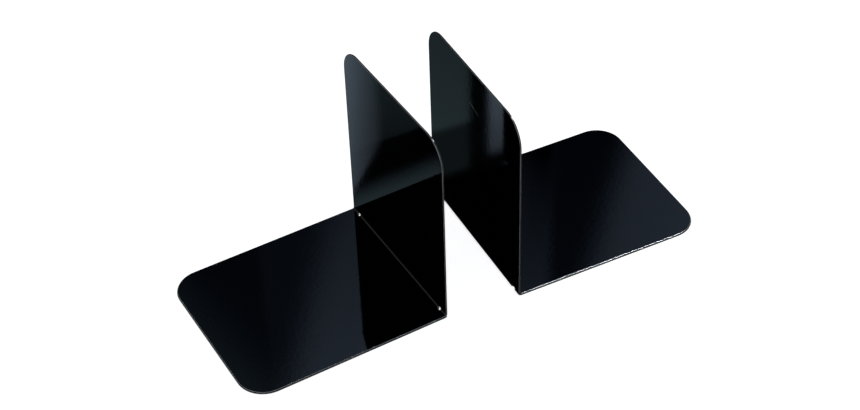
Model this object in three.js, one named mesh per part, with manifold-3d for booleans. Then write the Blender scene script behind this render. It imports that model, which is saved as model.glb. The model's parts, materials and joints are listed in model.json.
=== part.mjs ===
// A pair of steel book ends, standing back to back with their bases pointing outwards.
// Millimetres, +Z up. Both book ends are the same piece: one sheet with one right-angle bend.

import * as THREE from 'three';
import { mergeVertices } from 'three/addons/utils/BufferGeometryUtils.js';
import Module from 'manifold-3d';

const wasm = await Module();
wasm.setup();

// One book end
const WIDTH = 120; // along the bend
const BASE_LENGTH = 136; // from the back of the upright to the base's free edge
const HEIGHT = 136; // from the underside to the top edge
const SHEET = 1; // enamelled thickness
const BEND_INSIDE = 1; // inside radius of the bend
const CORNER = 18; // radius of each of the four free corners
const HOLE = 2.5; // diameter of the hanging holes punched through the bend
const HOLE_INSET = 8; // from each end of the bend to a hole's centre

// How the right book end stands, seen from the left one's bend
const PAIR_GAP = 51.7; // between the backs of the uprights, at mid-width
const PAIR_STAGGER = -7.8; // how far it stands towards the front
const PAIR_YAW = THREE.MathUtils.degToRad(-3.7); // it is turned a little, and not quite parallel

// Smoothness of the faceted arcs, and how far a cutter reaches past what it cuts
const CORNER_STEPS = 16;
const BEND_STEPS = 8;
const HOLE_STEPS = 24;
const MARGIN = 2;

const BEND_OUTSIDE = BEND_INSIDE + SHEET;

// A closed three.js geometry as a solid that can be cut
function solid(geometry) {
  const bare = geometry.clone();
  bare.deleteAttribute('normal');
  bare.deleteAttribute('uv');
  const merged = mergeVertices(bare);
  return new wasm.Manifold(
    new wasm.Mesh({
      numProp: 3,
      vertProperties: Float32Array.from(merged.attributes.position.array),
      triVerts: Uint32Array.from(merged.index.array),
    }),
  );
}

// A solid as a three.js geometry with flat faces
function geometryOf(cut) {
  const mesh = cut.getMesh();
  const geometry = new THREE.BufferGeometry();
  geometry.setAttribute('position', new THREE.BufferAttribute(Float32Array.from(mesh.vertProperties), 3));
  geometry.setIndex(new THREE.BufferAttribute(Uint32Array.from(mesh.triVerts), 1));
  const faceted = geometry.toNonIndexed();
  faceted.computeVertexNormals();
  return faceted;
}

// The sheet seen from its end: base along -X, a quarter-round bend, and the upright along +Z
function bentStrip() {
  const profile = new THREE.Shape();
  profile.moveTo(-BASE_LENGTH, 0);
  profile.lineTo(-BEND_OUTSIDE, 0);
  profile.absarc(-BEND_OUTSIDE, BEND_OUTSIDE, BEND_OUTSIDE, -Math.PI / 2, 0, false);
  profile.lineTo(0, HEIGHT);
  profile.lineTo(-SHEET, HEIGHT);
  profile.absarc(-BEND_OUTSIDE, BEND_OUTSIDE, BEND_INSIDE, 0, -Math.PI / 2, true);
  profile.lineTo(-BASE_LENGTH, SHEET);
  const strip = new THREE.ExtrudeGeometry(profile, {
    depth: WIDTH,
    curveSegments: BEND_STEPS / 2,
    bevelEnabled: false,
  });
  return strip.rotateX(Math.PI / 2).translate(0, WIDTH / 2, 0);
}

// What is trimmed from one corner of a leaf, in the leaf's own plane: across is side * x, out is y
function cornerTrim(reach, side) {
  const outline = [];
  for (let step = 0; step <= CORNER_STEPS; step += 1) {
    const angle = (step / CORNER_STEPS) * (Math.PI / 2);
    const across = WIDTH / 2 - CORNER + CORNER * Math.cos(angle);
    const out = reach - CORNER + CORNER * Math.sin(angle);
    outline.push(new THREE.Vector2(side * across, out));
  }
  outline.push(new THREE.Vector2(side * (WIDTH / 2 - CORNER), reach + MARGIN));
  outline.push(new THREE.Vector2(side * (WIDTH / 2 + MARGIN), reach + MARGIN));
  outline.push(new THREE.Vector2(side * (WIDTH / 2 + MARGIN), reach - CORNER));
  const trim = new THREE.ExtrudeGeometry(new THREE.Shape(outline), {
    depth: SHEET + 2 * MARGIN,
    bevelEnabled: false,
  });
  return trim.translate(0, 0, -MARGIN);
}

// A hanging hole: it passes through the middle of the bend, square to it
function hangingHole(y) {
  const drill = new THREE.CylinderGeometry(HOLE / 2, HOLE / 2, 2 * BEND_OUTSIDE + 2 * MARGIN, HOLE_STEPS);
  return drill.rotateZ(Math.PI / 4).rotateX(Math.PI / 2).translate(-BEND_OUTSIDE, y, BEND_OUTSIDE);
}

// One book end, its base towards -X, the back of its upright at x = 0 and its bend centred on y = 0
function bookEndGeometry() {
  const acrossY = new THREE.Vector3(0, 1, 0);
  const basePlane = new THREE.Matrix4().makeBasis(
    acrossY, new THREE.Vector3(-1, 0, 0), new THREE.Vector3(0, 0, 1));
  const uprightPlane = new THREE.Matrix4().makeBasis(
    acrossY, new THREE.Vector3(0, 0, 1), new THREE.Vector3(1, 0, 0));
  uprightPlane.setPosition(-SHEET, 0, 0);

  let sheet = solid(bentStrip());
  for (const side of [-1, 1]) {
    sheet = sheet.subtract(solid(cornerTrim(BASE_LENGTH, side).applyMatrix4(basePlane)));
    sheet = sheet.subtract(solid(cornerTrim(HEIGHT, side).applyMatrix4(uprightPlane)));
    sheet = sheet.subtract(solid(hangingHole(side * (WIDTH / 2 - HOLE_INSET))));
  }
  return geometryOf(sheet);
}

function glossBlackEnamel() {
  return new THREE.MeshStandardMaterial({ color: 0x050506, roughness: 0.08, metalness: 0 });
}

// The two book ends: the right one is the same piece, turned round
const shape = bookEndGeometry();

const left = new THREE.Mesh(shape, glossBlackEnamel());
left.name = 'left_book_end';

const right = new THREE.Mesh(shape, glossBlackEnamel());
right.name = 'right_book_end';
right.position.set(PAIR_GAP, PAIR_STAGGER, 0);
right.rotation.z = Math.PI + PAIR_YAW;

// The pair stands on z = 0 with the middle of its outer box over the origin
const pair = new THREE.Group();
pair.add(left, right);
const middle = new THREE.Box3().setFromObject(pair, true).getCenter(new THREE.Vector3());
pair.position.set(-middle.x, -middle.y, 0);

export default pair;
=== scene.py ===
"""A pair of bent sheet-steel book ends in gloss black enamel, standing back to back.

Each book end is made here as it is made in the works: a flat blank with round corners and two
punched holes, its cut edges rounded by the enamel, then bent to a right angle. The sizes come
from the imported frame. Metres, +Z up.
"""

import json
import math

import bmesh
import bpy
from mathutils import Matrix, Vector


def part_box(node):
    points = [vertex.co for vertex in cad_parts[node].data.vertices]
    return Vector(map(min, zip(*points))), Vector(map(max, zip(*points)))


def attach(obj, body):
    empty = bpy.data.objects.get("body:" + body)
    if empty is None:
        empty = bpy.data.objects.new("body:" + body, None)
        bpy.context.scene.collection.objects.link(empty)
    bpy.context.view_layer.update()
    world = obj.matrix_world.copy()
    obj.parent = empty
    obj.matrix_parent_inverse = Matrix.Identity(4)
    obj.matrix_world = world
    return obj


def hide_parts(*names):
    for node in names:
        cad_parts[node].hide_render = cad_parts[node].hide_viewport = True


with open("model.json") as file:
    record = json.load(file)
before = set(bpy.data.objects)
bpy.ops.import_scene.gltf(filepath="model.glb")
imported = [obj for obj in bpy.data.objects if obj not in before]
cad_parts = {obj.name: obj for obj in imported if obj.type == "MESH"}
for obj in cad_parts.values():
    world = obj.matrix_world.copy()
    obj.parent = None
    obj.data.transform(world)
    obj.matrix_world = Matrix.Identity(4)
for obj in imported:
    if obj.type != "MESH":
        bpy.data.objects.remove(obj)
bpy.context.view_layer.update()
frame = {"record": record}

MM = 0.001

# The sheet's details, where the frame gives only its overall sizes
BEND_INSIDE = 1.0 * MM
CORNER_RADIUS = 18.0 * MM
HOLE_RADIUS = 1.25 * MM
HOLE_INSET = 8.0 * MM  # from the sheet's side to the hole's centre
EDGE_RADIUS = 0.32 * MM  # the enamel rounds the cut edges, which are square in CAD

# How finely round shapes are divided
CORNER_STEPS = 28
HOLE_STEPS = 36
EDGE_STEPS = 5
BEND_STEPS = 16

CUT_TOLERANCE = 1e-7  # a bend line goes through a vertex that is nearer to it than this
SLIVER = 5e-6  # edges shorter than this are closed up


# ---------------------------------------------------------------- sizes and places from the frame

MOUNTS = {mount["name"]: mount for mount in frame["record"]["mounts"]}
LEFT_LOW, LEFT_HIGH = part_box("left_book_end")
SHEET = MOUNTS["left_top_of_base"]["pos_m"][2]
WIDTH = LEFT_HIGH.y - LEFT_LOW.y
BASE_LENGTH = LEFT_HIGH.x - LEFT_LOW.x
HEIGHT = LEFT_HIGH.z
BEND_OUTSIDE = BEND_INSIDE + SHEET


def left_place():
    """The left book end's own axes are the frame's, with its origin under the back of the bend."""
    return Matrix.Translation((LEFT_HIGH.x, (LEFT_LOW.y + LEFT_HIGH.y) / 2, 0))


def right_place():
    """The right one is the same piece turned round, so that its book side faces the other way."""
    face = MOUNTS["right_book_face"]
    outward = Vector(face["axis"])
    back = Vector(face["pos_m"]) - outward * SHEET
    turn = Matrix.Rotation(math.atan2(-outward.y, -outward.x), 4, "Z")
    return Matrix.Translation((back.x, back.y, 0)) @ turn


# ---------------------------------------------------------------- the sheet

FLAT_BASE = BASE_LENGTH - BEND_OUTSIDE
FLAT_UPRIGHT = HEIGHT - BEND_OUTSIDE
BEND_MIDDLE_RADIUS = BEND_INSIDE + SHEET / 2
BEND_LENGTH = BEND_MIDDLE_RADIUS * math.pi / 2
BLANK_LENGTH = FLAT_BASE + BEND_LENGTH + FLAT_UPRIGHT


def blank_outline():
    """The blank's edge, anticlockwise: (along, across) and the outward normal at each point."""
    half = WIDTH / 2
    inner_along = (CORNER_RADIUS, BLANK_LENGTH - CORNER_RADIUS)
    inner_across = half - CORNER_RADIUS
    corners = (
        (inner_along[0], -inner_across, math.pi),
        (inner_along[1], -inner_across, 1.5 * math.pi),
        (inner_along[1], inner_across, 0.0),
        (inner_along[0], inner_across, 0.5 * math.pi),
    )
    points = []
    for along, across, start in corners:
        for step in range(CORNER_STEPS + 1):
            angle = start + step / CORNER_STEPS * math.pi / 2
            normal = Vector((math.cos(angle), math.sin(angle), 0))
            points.append((Vector((along, across, 0)) + CORNER_RADIUS * normal, normal))
    return points


def hole_outline(side):
    """A punched hole's edge, clockwise: the outward normal points into the hole."""
    centre = Vector((FLAT_BASE + BEND_LENGTH / 2, side * (WIDTH / 2 - HOLE_INSET), 0))
    points = []
    for step in range(HOLE_STEPS):
        angle = -step / HOLE_STEPS * 2 * math.pi
        ray = Vector((math.cos(angle), math.sin(angle), 0))
        points.append((centre + HOLE_RADIUS * ray, -ray))
    return points


def edge_profile():
    """The rounded cut edge from the book side to the back: (inset, height, tilt of the normal)."""
    profile = []
    for first, level in ((0.0, SHEET - EDGE_RADIUS), (math.pi / 2, EDGE_RADIUS)):
        for step in range(EDGE_STEPS + 1):
            tilt = first + step / EDGE_STEPS * math.pi / 2
            profile.append((EDGE_RADIUS * (1 - math.sin(tilt)), level + EDGE_RADIUS * math.cos(tilt), tilt))
    return profile


def flat_blank():
    """The blank as a bmesh. Its layers keep each vertex's normal, and how thin the enamel is there."""
    blank = bmesh.new()
    shading = blank.verts.layers.float_vector.new("shading")
    thinness = blank.verts.layers.float.new("thinness")
    profile = edge_profile()
    book_side, back_side = [], []
    for outline in (blank_outline(), hole_outline(-1), hole_outline(1)):
        rings = []
        for inset, level, tilt in profile:
            ring = []
            for point, normal in outline:
                vertex = blank.verts.new(point - inset * normal + Vector((0, 0, level)))
                vertex[shading] = math.sin(tilt) * normal + Vector((0, 0, math.cos(tilt)))
                vertex[thinness] = abs(math.sin(2 * tilt))
                ring.append(vertex)
            rings.append(ring)
        for upper, lower in zip(rings, rings[1:]):
            for i in range(len(upper)):
                j = (i + 1) % len(upper)
                blank.faces.new((upper[i], lower[i], lower[j], upper[j]))
        for side, ring in ((book_side, rings[0]), (back_side, rings[-1])):
            for i in range(len(ring)):
                side.append(blank.edges.get((ring[i], ring[(i + 1) % len(ring)])))
    bmesh.ops.triangle_fill(blank, use_beauty=True, edges=book_side, normal=(0, 0, 1))
    bmesh.ops.triangle_fill(blank, use_beauty=True, edges=back_side, normal=(0, 0, -1))
    return blank, shading


def bent(along, across, level):
    """Where a point of the flat blank goes when it is bent, and how far its normal turns."""
    if along <= FLAT_BASE:
        return Vector((along - BASE_LENGTH, across, level)), 0.0
    if along >= FLAT_BASE + BEND_LENGTH:
        return Vector((-level, across, BEND_OUTSIDE + along - FLAT_BASE - BEND_LENGTH)), math.pi / 2
    turn = (along - FLAT_BASE) / BEND_MIDDLE_RADIUS
    radius = BEND_OUTSIDE - level
    x = -BEND_OUTSIDE + radius * math.sin(turn)
    z = BEND_OUTSIDE - radius * math.cos(turn)
    return Vector((x, across, z)), turn


def book_end_mesh(name, place):
    """One finished book end, made with its base towards -X and its back at x = 0, then placed."""
    sheet, shading = flat_blank()
    for step in range(BEND_STEPS + 1):
        bmesh.ops.bisect_plane(
            sheet,
            geom=sheet.verts[:] + sheet.edges[:] + sheet.faces[:],
            dist=CUT_TOLERANCE,
            plane_co=(FLAT_BASE + step / BEND_STEPS * BEND_LENGTH, 0, 0),
            plane_no=(1, 0, 0),
        )
    bmesh.ops.dissolve_degenerate(sheet, dist=SLIVER, edges=sheet.edges[:])
    for vertex in sheet.verts:
        point, turn = bent(*vertex.co)
        vertex.co = place @ point
        vertex[shading] = place.to_3x3() @ Matrix.Rotation(-turn, 3, "Y") @ vertex[shading].normalized()
    normals = [vertex[shading].normalized() for vertex in sheet.verts]
    mesh = bpy.data.meshes.new(name)
    sheet.to_mesh(mesh)
    sheet.free()
    mesh.attributes.remove(mesh.attributes["shading"])
    mesh.shade_smooth()
    mesh.normals_split_custom_set_from_vertices(normals)
    return mesh


# ---------------------------------------------------------------- materials

BLACK = (0, 0, 0, 1)

# The enamel: a fine orange peel, and clouds in which the gloss and the tint vary
PEEL_NOISE = {"Scale": 420.0, "Detail": 2.0, "Roughness": 0.5}
PEEL_DEPTH = 0.02 * MM
PEEL_STRENGTH = 0.5
CLOUD_NOISE = {"Scale": 30.0, "Detail": 5.0, "Roughness": 0.6}
CLOUD_RANGE = (0.3, 0.7)  # where most of the noise lies
ENAMEL_ROUGHNESS = (0.025, 0.05)
ENAMEL_TINTS = ((0.0002, 0.0002, 0.0006, 1), (0.0004, 0.0004, 0.0009, 1))
ENAMEL_IOR = 1.5

# The steel of the rims
STEEL = (0.56, 0.57, 0.60, 1)
STEEL_SHOWS = 0.3  # how thin the enamel has to be
STEEL_MOST = 0.9  # how much shows where the enamel is thinnest
RIM_ROUGHNESS = 0.3

# A thin grey line mixed into the enamel's base colour across the right upright's back
GREY_LINE_ENDS = ((-7.3, 110.9), (9.7, 106.3))  # mm across and up the right upright's back
GREY_LINE_REACH = 0.5 * MM  # from its middle line to where it has faded out
GREY_LINE_CORE = 0.2  # how much of each reach is at full strength
GREY_LINE_COLOUR = (0.34, 0.36, 0.40, 1)


def add_node(tree, kind, inputs=None, **settings):
    """A shader node with its settings. An input is a plain value or the output that feeds it."""
    node = tree.nodes.new(kind)
    for name, value in settings.items():
        setattr(node, name, value)
    for name, value in (inputs or {}).items():
        if isinstance(value, bpy.types.NodeSocket):
            tree.links.new(value, node.inputs[name])
        else:
            node.inputs[name].default_value = value
    return node


def new_material(name):
    material = bpy.data.materials.new(name)
    material.use_nodes = True
    tree = material.node_tree
    tree.nodes.clear()
    return material, tree


def set_surface(tree, shader):
    add_node(tree, "ShaderNodeOutputMaterial", {"Surface": shader})


def add_shaders(tree, first, second):
    return add_node(tree, "ShaderNodeAddShader", {0: first, 1: second}).outputs["Shader"]


def combine(tree, operation, first, second):
    return add_node(tree, "ShaderNodeMath", {0: first, 1: second}, operation=operation).outputs["Value"]


def blend(tree, axis, first, second, start=0.0, end=1.0):
    """A value that goes from first to second as the axis goes from start to end."""
    inputs = {"Value": axis, "From Min": start, "From Max": end, "To Min": first, "To Max": second}
    return add_node(tree, "ShaderNodeMapRange", inputs).outputs["Result"]


def fade(tree, axis, start, end):
    """Eases from 0 to 1 as the axis goes from start to end."""
    inputs = {"Value": axis, "From Min": start, "From Max": end}
    node = add_node(tree, "ShaderNodeMapRange", inputs, interpolation_type="SMOOTHERSTEP")
    return node.outputs["Result"]


def mix_colours(tree, factor, first, second):
    inputs = {"Factor": factor, "A": first, "B": second}
    return add_node(tree, "ShaderNodeMix", inputs, data_type="RGBA").outputs["Result"]


def noise(tree, place, look):
    return add_node(tree, "ShaderNodeTexNoise", {"Vector": place, **look}).outputs["Fac"]


def grey_line_mask(tree, position):
    """1 on a thin grey line across the right upright's back, and 0 everywhere else."""
    place = right_place()
    start, end = (place @ Vector((0, across * MM, level * MM)) for across, level in GREY_LINE_ENDS)
    inputs = {0: position, 1: (start + end) / 2}
    from_middle = add_node(tree, "ShaderNodeVectorMath", inputs, operation="SUBTRACT").outputs["Vector"]
    along = (end - start).normalized()
    outward = place.to_3x3() @ Vector((1, 0, 0))
    reaches = (
        (along, (end - start).length / 2),
        (outward.cross(along), GREY_LINE_REACH),
        (outward, SHEET / 2),
    )
    mask = None
    for axis, reach in reaches:
        part = add_node(tree, "ShaderNodeVectorMath", {0: from_middle, 1: axis}, operation="DOT_PRODUCT")
        distance = add_node(tree, "ShaderNodeMath", {0: part.outputs["Value"]}, operation="ABSOLUTE")
        inside = fade(tree, distance.outputs["Value"], reach, GREY_LINE_CORE * reach)
        mask = combine(tree, "MULTIPLY", mask, inside) if mask else inside
    return mask


def black_enamel():
    """Gloss black stoved enamel with a faint orange peel, so thin on the rims that the steel shows."""
    material, tree = new_material("black_enamel")
    place = add_node(tree, "ShaderNodeTexCoord").outputs["Object"]
    peel = noise(tree, place, PEEL_NOISE)
    cloud = noise(tree, place, CLOUD_NOISE)
    thinness = add_node(tree, "ShaderNodeAttribute", attribute_name="thinness").outputs["Fac"]
    steel = blend(tree, thinness, 0.0, STEEL_MOST, start=STEEL_SHOWS)

    tint = mix_colours(tree, cloud, *ENAMEL_TINTS)
    skin = mix_colours(tree, steel, tint, STEEL)
    # A thin grey line mixed into the base colour across the right upright's back
    grey_line = combine(tree, "MULTIPLY", grey_line_mask(tree, place), peel)
    sheen = blend(tree, cloud, *ENAMEL_ROUGHNESS, *CLOUD_RANGE)
    ripples = {"Distance": PEEL_DEPTH, "Strength": blend(tree, steel, PEEL_STRENGTH, 0.0), "Height": peel}
    look = {
        "IOR": ENAMEL_IOR,
        "Base Color": mix_colours(tree, grey_line, skin, GREY_LINE_COLOUR),
        "Metallic": steel,
        "Roughness": blend(tree, steel, sheen, RIM_ROUGHNESS),
        "Normal": add_node(tree, "ShaderNodeBump", ripples).outputs["Normal"],
    }
    set_surface(tree, add_node(tree, "ShaderNodeBsdfPrincipled", look).outputs["BSDF"])
    return material


# ---------------------------------------------------------------- the two book ends


def make_book_ends():
    enamel = black_enamel()
    for side, place in (("left", left_place()), ("right", right_place())):
        name = side + "_sheet"
        sheet = bpy.data.objects.new(name, book_end_mesh(name, place))
        bpy.context.scene.collection.objects.link(sheet)
        sheet.data.materials.append(enamel)
        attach(sheet, side)
        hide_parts(side + "_book_end")


# ---------------------------------------------------------------- camera

VIEW_TARGET = Vector((-0.0080, -0.0006, 0.0450))
VIEW_AZIMUTH = math.radians(-29.20)
VIEW_ELEVATION = math.radians(41.39)
VIEW_ROLL = math.radians(-1.94)
VIEW_DISTANCE = 1.1324
LENS = 75.36
SENSOR_WIDTH = 36.0


def make_camera():
    turn = (
        Matrix.Rotation(VIEW_AZIMUTH, 4, "Z")
        @ Matrix.Rotation(math.pi / 2 - VIEW_ELEVATION, 4, "X")
        @ Matrix.Rotation(VIEW_ROLL, 4, "Z")
    )
    camera = bpy.data.objects.new("camera", bpy.data.cameras.new("camera"))
    camera.data.lens = LENS
    camera.data.sensor_width = SENSOR_WIDTH
    camera.matrix_world = Matrix.Translation(VIEW_TARGET) @ turn @ Matrix.Translation((0, 0, VIEW_DISTANCE))
    bpy.context.scene.collection.objects.link(camera)
    bpy.context.scene.camera = camera


# ---------------------------------------------------------------- floor and surround

FLOOR_SIZE = 12.0
FLOOR_LEVEL = -0.2 * MM  # just under the book ends, which stand at 0
PALE = (0.86, 0.865, 0.87, 1)
CONTACT_SHADE_REACH = 1.3 * MM  # how far from the steel the painted contact shadow, a dark line on the paper where the steel touches it, reaches
CONTACT_SHADE_FADE = (0.6, 0.87)  # how open the air above is where the painted contact shadow is black, and where the paper stays pale

# The painted shade under and between the book ends: a black sheet below the floor, which the enamel
# reflects
GAP_LEVEL = -0.5 * MM
GAP_WIDTH = 50.0 * MM  # from the left book end's back towards the right one
GAP_DEPTH = 112.0 * MM  # from the left book end's front edge backwards

# The surround's brightness, and the studio's
SURROUND = 0.36
STUDIO_COLOUR = (0.8, 0.9, 1.0, 1)
STUDIO_DARK = 0.0015
STUDIO_GLOW = 0.3

# Where the studio goes from dark to glowing, as parts of a direction of length 1
BACK_TO_FRONT = (0.35, -0.35)
MIDDLE_TO_SIDES = (0.65, 0.95)
BELOW_TO_ABOVE = (-0.6, 0.1)


def stage_plane(name, corner, along, up):
    """A flat rectangle or parallelogram for the studio, with its UVs running from 0 to 1."""
    corner, along, up = Vector(corner), Vector(along), Vector(up)
    mesh = bpy.data.meshes.new(name)
    mesh.from_pydata([corner, corner + along, corner + along + up, corner + up], [], [(0, 1, 2, 3)])
    layer = mesh.uv_layers.new(name="UVMap")
    for loop, uv in zip(layer.data, ((0, 0), (1, 0), (1, 1), (0, 1))):
        loop.uv = uv
    plane = bpy.data.objects.new(name, mesh)
    bpy.context.scene.collection.objects.link(plane)
    return plane


def make_floor():
    """A plain pale floor that glows a little, so that shadows stay pale, with a painted contact shadow near
    the steel.

    Reflections pass through it: the studio cards stand for it in the enamel.
    """
    half = FLOOR_SIZE / 2
    floor = stage_plane("floor", (-half, -half, FLOOR_LEVEL), (FLOOR_SIZE, 0, 0), (0, FLOOR_SIZE, 0))
    material, tree = new_material("floor_paper")
    open_air = add_node(tree, "ShaderNodeAmbientOcclusion", {"Distance": CONTACT_SHADE_REACH}).outputs["AO"]
    # Painted contact shadow: the paper's colour and glow go to black where the steel is near, by ambient
    # occlusion
    colour = mix_colours(tree, blend(tree, open_air, 0.0, 1.0, *CONTACT_SHADE_FADE), BLACK, PALE)
    paper = add_node(tree, "ShaderNodeBsdfDiffuse", {"Color": colour}).outputs["BSDF"]
    glow = add_node(tree, "ShaderNodeEmission", {"Color": colour}).outputs["Emission"]
    set_surface(tree, add_shaders(tree, paper, glow))
    material.cycles.emission_sampling = "NONE"
    floor.data.materials.append(material)
    floor.visible_glossy = False


def make_dark_gap():
    """A black sheet for the shaded place under the left book end and between the two, as the enamel
    reflects it: painted shade.
    """
    corner = (LEFT_LOW.x, LEFT_LOW.y, GAP_LEVEL)
    shade = stage_plane("dark_gap", corner, (BASE_LENGTH + GAP_WIDTH, 0, 0), (0, GAP_DEPTH, 0))
    material, tree = new_material("dark_gap")
    set_surface(tree, add_node(tree, "ShaderNodeBsdfDiffuse", {"Color": BLACK}).outputs["BSDF"])
    shade.data.materials.append(material)


def make_world():
    """A pale even surround for the floor and the camera, and a dimmer studio for the reflections.

    The studio is dark below the book ends and behind them, where the cards stand, and glows softly
    elsewhere.
    """
    world = bpy.data.worlds.new("studio")
    bpy.context.scene.world = world
    world.use_nodes = True
    tree = world.node_tree
    tree.nodes.clear()
    direction = add_node(tree, "ShaderNodeTexCoord").outputs["Generated"]
    axes = add_node(tree, "ShaderNodeSeparateXYZ", {"Vector": direction}).outputs
    sideways = add_node(tree, "ShaderNodeMath", {0: axes["X"]}, operation="ABSOLUTE").outputs["Value"]
    front = fade(tree, axes["Y"], *BACK_TO_FRONT)
    sides = fade(tree, sideways, *MIDDLE_TO_SIDES)
    above = fade(tree, axes["Z"], *BELOW_TO_ABOVE)
    open_side = combine(tree, "MULTIPLY", combine(tree, "MAXIMUM", front, sides), above)
    glow = blend(tree, open_side, STUDIO_DARK, STUDIO_GLOW)
    pale = add_node(tree, "ShaderNodeBackground", {"Color": (1, 1, 1, 1), "Strength": SURROUND})
    studio = add_node(tree, "ShaderNodeBackground", {"Color": STUDIO_COLOUR, "Strength": glow})
    choice = {
        "Fac": add_node(tree, "ShaderNodeLightPath").outputs["Is Glossy Ray"],
        1: pale.outputs["Background"],
        2: studio.outputs["Background"],
    }
    shader = add_node(tree, "ShaderNodeMixShader", choice).outputs["Shader"]
    add_node(tree, "ShaderNodeOutputWorld", {"Surface": shader})


# ---------------------------------------------------------------- studio cards

# The colours of the things that the studio cards stand for
SKY_BLUE = (0.80, 1.03, 1.30)
DEEP_BLUE = (0.78, 1.02, 1.42)
DUSK_BLUE = (0.62, 1.00, 1.75)
TEAL = (0.70, 1.07, 1.20)
WHITE = (1.0, 1.0, 1.0)

CARD_GAP = 1.0 * MM  # cards that overlap stand one behind the other


def soft_card(name, corner, along, up, colour, foot, head, sides, ends=(0.0, 0.0)):
    """A glowing card that only reflections see, with soft borders, and adding to what is behind it.

    foot and head are the brightness at the two lower and the two upper corners. sides and ends
    are how much of the card the near and far borders, and the lower and upper ones, take to fade.
    """
    card = stage_plane(name, corner, along, up)
    material, tree = new_material(name)
    place = add_node(tree, "ShaderNodeTexCoord").outputs["UV"]
    axes = add_node(tree, "ShaderNodeSeparateXYZ", {"Vector": place}).outputs
    across, upward = axes["X"], axes["Y"]
    glow = blend(tree, upward, blend(tree, across, *foot), blend(tree, across, *head))
    for axis, (near, far) in ((across, sides), (upward, ends)):
        if near:
            glow = combine(tree, "MULTIPLY", glow, fade(tree, axis, 0.0, near))
        if far:
            glow = combine(tree, "MULTIPLY", glow, fade(tree, axis, 1.0, 1.0 - far))
    light = add_node(tree, "ShaderNodeEmission", {"Color": (*colour, 1), "Strength": glow})
    clear = add_node(tree, "ShaderNodeBsdfTransparent")
    set_surface(tree, add_shaders(tree, light.outputs["Emission"], clear.outputs["BSDF"]))
    material.cycles.emission_sampling = "NONE"
    card.data.materials.append(material)
    card.visible_camera = False
    card.visible_diffuse = False
    card.visible_shadow = False
    card.visible_transmission = False
    return card


def make_sky_cards():
    """Tall windows high behind the book ends, which the bases reflect."""
    back, low, tall, slant = 1.508, 1.25, 0.75, -0.20
    windows = (
        # name, first side, breadth, lean, colour, foot, head, sides
        # window_mid's foot is below 0, so that its light begins part of the way up
        ("window_near", 0.595, 0.625, slant, DEEP_BLUE, (0.05, 0.05), (0.38, 0.38), (0.22, 0.44)),
        ("window_far", 1.302, 0.605, slant, DEEP_BLUE, (0.21, 0.32), (0.23, 0.40), (0.26, 0.30)),
        ("window_edge", -0.075, 0.400, 0.34, TEAL, (0.13, 0.13), (0.13, 0.13), (0.10, 0.55)),
        ("window_sill", 0.473, 0.655, 0.0, DEEP_BLUE, (0.026, 0.018), (0.028, 0.022), (0.01, 0.01)),
        ("wall_glow", 0.100, 1.700, 0.0, DUSK_BLUE, (0.02, 0.0), (0.045, 0.03), (0.10, 0.10)),
        ("window_mid", 0.850, 0.280, 0.0, DEEP_BLUE, (-0.16, -0.16), (0.20, 0.20), (0.30, 0.10)),
    )
    for i, (name, first, breadth, lean, colour, foot, head, sides) in enumerate(windows):
        place = (first, back + i * CARD_GAP, low)
        soft_card(name, place, (breadth, 0, 0), (lean, 0, tall), colour, foot, head, sides)


def make_low_cards():
    """What the uprights reflect: the dim things behind and below the surface they stand on."""
    back = 0.608
    cards = (
        # name, first side and foot, breadth, rise of the foot, tall, colour,
        # then the brightness of foot and head, and how much the sides and ends take to fade
        ("corner", (-0.330, -0.450), 0.045, -0.068, 0.264, SKY_BLUE,
         (0.045, 0.23), (0.05, 0.56), (0.05, 0), (0.02, 0)),
        ("slope", (-0.420, -0.457), 0.135, 0.008, 0.20, TEAL,
         (0.045, 0.015), (0.19, 0.08), (0.1, 0), (0.02, 0)),
        ("foot", (-0.415, -0.547), 0.125, 0.0, 0.057, TEAL,
         (0.12, 0.11), (0.12, 0.11), (0.1, 0), (0.15, 0.8)),
        ("streak", (-0.288, -0.502), 0.0265, 0.0, 0.15, SKY_BLUE,
         (0.13, 0.13), (0.46, 0.46), (0.2, 0.08), (0.16, 0)),
        ("head", (-0.241, -0.446), 0.12, 0.0, 0.16, TEAL,
         (0.125, 0.12), (0.09, 0.09), (0.02, 0.1), (0.1, 0)),
        ("base", (-0.241, -0.514), 0.12, 0.0, 0.08, TEAL,
         (0.032, 0.032), (0.032, 0.032), (0.02, 0.1), (0.25, 0.15)),
    )
    for i, (name, (first, low), breadth, rise, tall, colour, foot, head, sides, ends) in enumerate(cards):
        place = (first, back + i * CARD_GAP, low)
        soft_card("low_" + name, place, (breadth, 0, rise), (0, 0, tall), colour, foot, head, sides, ends)


def make_edge_cards():
    """What only narrow round places reflect: the rims of the sheet, and the inside of the bend."""
    cards = (
        # name, corner, along, up, brightness, sides, ends
        ("strip", (0.49, -0.21, 1.5), (0.79, 0, 0), (0, 0.36, 0), 95.0, (0.36, 0.1), (0, 0)),
        ("front_floor", (-0.5, -0.068, 0.0002), (1.4, 0, 0), (0, -1.2, 0), 0.15, (0.1, 0.1), (0.12, 0.1)),
        ("side_wall", (-1.2, -1.6, 0.05), (0, 2.0, 0), (0, 0, 1.0), 0.4, (0.1, 0.1), (0.1, 0.1)),
        ("bend_glow", (-1.16, 0.8, 0.3), (0.35, 0.35, 0), (0, 0, 0.5), 0.9, (0.2, 0.2), (0.2, 0.2)),
    )
    for name, corner, along, up, bright, sides, ends in cards:
        level = (bright, bright)
        card = soft_card(name, corner, along, up, WHITE, level, level, sides, ends)
        card.data.materials[0].cycles.emission_sampling = "FRONT_BACK"


make_camera()
make_world()
make_floor()
make_dark_gap()
make_sky_cards()
make_low_cards()
make_edge_cards()
make_book_ends()

bpy.context.scene.view_settings.view_transform = "Standard"
